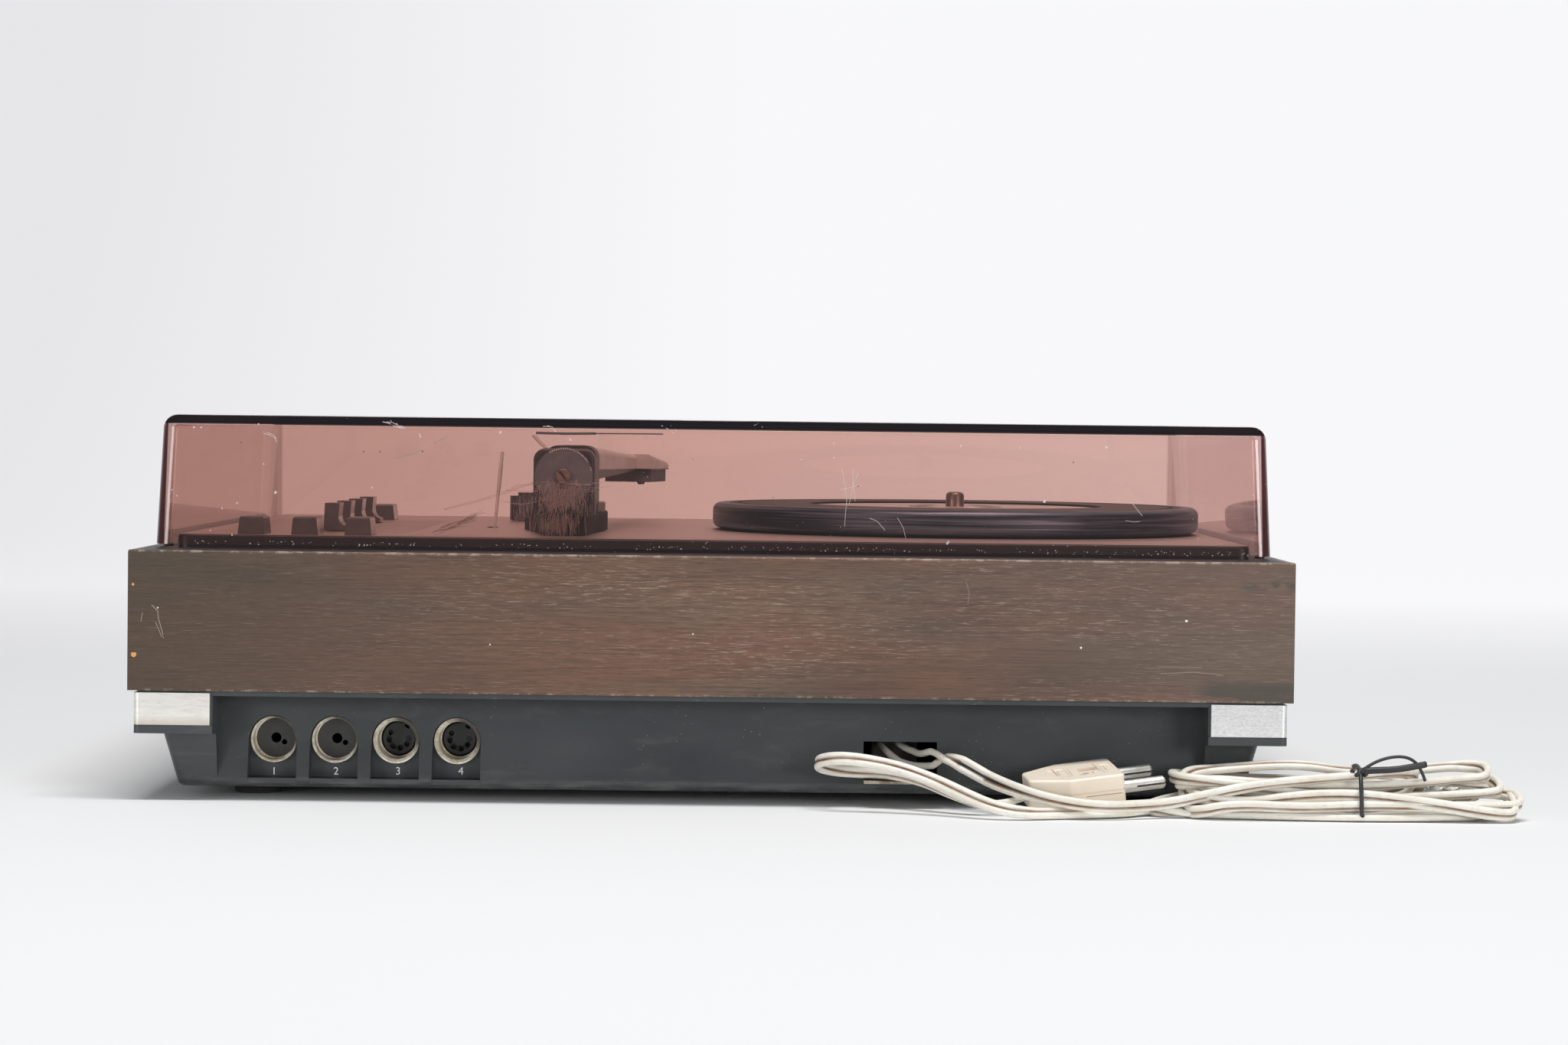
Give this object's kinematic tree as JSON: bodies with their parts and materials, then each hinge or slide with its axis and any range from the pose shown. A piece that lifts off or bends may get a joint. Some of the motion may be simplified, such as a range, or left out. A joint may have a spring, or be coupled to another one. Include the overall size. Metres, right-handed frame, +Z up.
{
  "type": "stereo music centre",
  "caption": "Record player and amplifier in one low wooden plinth, with a tinted lift-off dust cover, rear sockets and a bundled mains cord",
  "frame": {"origin": "on the surface that the feet stand on, under the middle of the plinth, cord left out", "axes": "+Z up, the front faces -Y and the sockets face +Y, +X to the right seen from the front"},
  "size_m": [0.4795, 0.355, 0.1341],
  "materials": {
    "wood": "satin dark veneer",
    "aluminium_strip": "brushed",
    "deck_metal": "brushed",
    "cast_metal": "machined",
    "tub_plastic": "matte",
    "black_plastic": "matte",
    "arm_grey": "satin",
    "arm_light": "satin",
    "weight_metal": "satin",
    "rubber": "matte",
    "feet_rubber": "matte",
    "steel": "bright",
    "chrome": "polished",
    "passivated_cup": "yellow passivated",
    "socket_black": "matte",
    "cover_acrylic": "tinted clear",
    "pcb": "satin",
    "core_iron": "satin",
    "coil_tape": "satin",
    "cord_vinyl": "satin",
    "plug_vinyl": "satin",
    "tie_black": "satin"
  },
  "bodies": {
    "plinth": {"aluminium_trim": "aluminium_strip", "bottom_tub": "tub_plastic", "control_panel": "deck_metal", "corner_blocks": "wood", "deck_plate": "deck_metal", "feet": "feet_rubber", "foot_screws": "steel", "key_switches": "steel", "motor": "steel", "slide_pots": "steel", "tub_screws": "steel", "turntable_bearings": "steel", "wood_front": "wood", "wood_left": "wood", "wood_rear": "wood", "wood_right": "wood", "cover_pads": "rubber", "speaker_shells": "passivated_cup", "speaker_inserts": "socket_black", "din_shells": "passivated_cup", "din_inserts": "socket_black", "cable_clamp": "socket_black", "transformer_core": "core_iron", "transformer_coil": "coil_tape", "amplifier_board": "pcb", "heat_sink": "cast_metal", "arm_base": "arm_grey", "arm_stop": "arm_light", "arm_rest": "black_plastic", "cord_lead": "cord_vinyl", "cord_hank": "cord_vinyl", "cord_plug_lead": "cord_vinyl", "plug_body": "plug_vinyl", "plug_pins": "chrome", "cord_tie": "tie_black"},
    "platter": {"platter": "cast_metal", "platter_mat": "rubber", "platter_disc": "deck_metal", "spindle": "steel"},
    "idler": {"idler_wheel": "rubber"},
    "motor_rotor": {"motor_pulley": "steel"},
    "arm_pivot": {"arm_yoke": "arm_grey"},
    "arm": {"arm_beam": "arm_light", "head_shell": "arm_light", "cartridge": "black_plastic", "finger_lift": "arm_light", "counterweight": "weight_metal", "balance_screw": "steel"},
    "balance": {"balance_wheel": "weight_metal"},
    "cue_lever": {"cue_lever": "chrome"},
    "speed_knob": {"speed_knob": "black_plastic"},
    "key_1": {"key_1": "black_plastic"},
    "key_2": {"key_2": "black_plastic"},
    "key_3": {"key_3": "black_plastic"},
    "mains_key": {"mains_key": "black_plastic"},
    "slider_1": {"slider_1": "black_plastic"},
    "slider_2": {"slider_2": "black_plastic"},
    "slider_3": {"slider_3": "black_plastic"},
    "slider_4": {"slider_4": "black_plastic"},
    "cover": {"dust_cover": "cover_acrylic"}
  },
  "joints": [
    {"name": "platter_spin", "type": "hinge", "parent": "plinth", "child": "platter", "pos_m": [-0.092, 0, 0.0975], "axis": [0, 0, 1], "continuous": true},
    {"name": "idler_spin", "type": "hinge", "parent": "plinth", "child": "idler", "pos_m": [-0.14938, 0.04814, 0.0952], "axis": [0, 0, 1], "continuous": true},
    {"name": "pulley_spin", "type": "hinge", "parent": "plinth", "child": "motor_rotor", "pos_m": [-0.13135, 0.05132, 0.0851], "axis": [0, 0, 1], "continuous": true},
    {"name": "arm_yaw", "type": "hinge", "parent": "plinth", "child": "arm_pivot", "pos_m": [0.0543, 0.0625, 0.1], "axis": [0, 0, -1], "range_deg": [0, 46]},
    {"name": "arm_tilt", "type": "hinge", "parent": "arm_pivot", "child": "arm", "pos_m": [0.0543, 0.0625, 0.1135], "axis": [-1, 0, 0], "range_deg": [-1.2, 0]},
    {"name": "balance_turn", "type": "hinge", "parent": "arm", "child": "balance", "pos_m": [0.0543, 0.1173, 0.1135], "axis": [0, 1, 0], "continuous": true},
    {"name": "cue_lever_turn", "type": "hinge", "parent": "plinth", "child": "cue_lever", "pos_m": [0.0874, 0.0185, 0.0832], "axis": [1, 0, 0], "range_deg": [-24, 0]},
    {"name": "knob_turn", "type": "hinge", "parent": "plinth", "child": "speed_knob", "pos_m": [0.0807, -0.0755, 0.0936], "axis": [0, 0, 1], "range_deg": [-35, 35]},
    {"name": "key_1_press", "type": "slide", "parent": "plinth", "child": "key_1", "axis": [0, 0, -1], "range_m": [0, 0.0025], "stiffness_N_per_m": 300},
    {"name": "key_2_press", "type": "slide", "parent": "plinth", "child": "key_2", "axis": [0, 0, -1], "range_m": [0, 0.0025], "stiffness_N_per_m": 300},
    {"name": "key_3_press", "type": "slide", "parent": "plinth", "child": "key_3", "axis": [0, 0, -1], "range_m": [0, 0.0025], "stiffness_N_per_m": 300},
    {"name": "mains_key_press", "type": "slide", "parent": "plinth", "child": "mains_key", "axis": [0, 0, -1], "range_m": [0, 0.0025], "stiffness_N_per_m": 300},
    {"name": "slider_1_move", "type": "slide", "parent": "plinth", "child": "slider_1", "axis": [1, 0, 0], "range_m": [-0.014, 0.014]},
    {"name": "slider_2_move", "type": "slide", "parent": "plinth", "child": "slider_2", "axis": [1, 0, 0], "range_m": [-0.014, 0.014]},
    {"name": "slider_3_move", "type": "slide", "parent": "plinth", "child": "slider_3", "axis": [1, 0, 0], "range_m": [-0.014, 0.014]},
    {"name": "slider_4_move", "type": "slide", "parent": "plinth", "child": "slider_4", "axis": [1, 0, 0], "range_m": [-0.014, 0.014]},
    {"name": "cover_lift", "type": "slide", "parent": "plinth", "child": "cover", "axis": [0, 0, 1], "range_m": [0, 0.06]}
  ],
  "couplings": [
    {"joint": "idler_spin", "follows": "platter_spin", "ratio": 6.3714},
    {"joint": "pulley_spin", "follows": "platter_spin", "ratio": -22.3},
    {"joint": "cue_lever_turn", "follows": "arm_tilt", "ratio": 20}
  ]
}
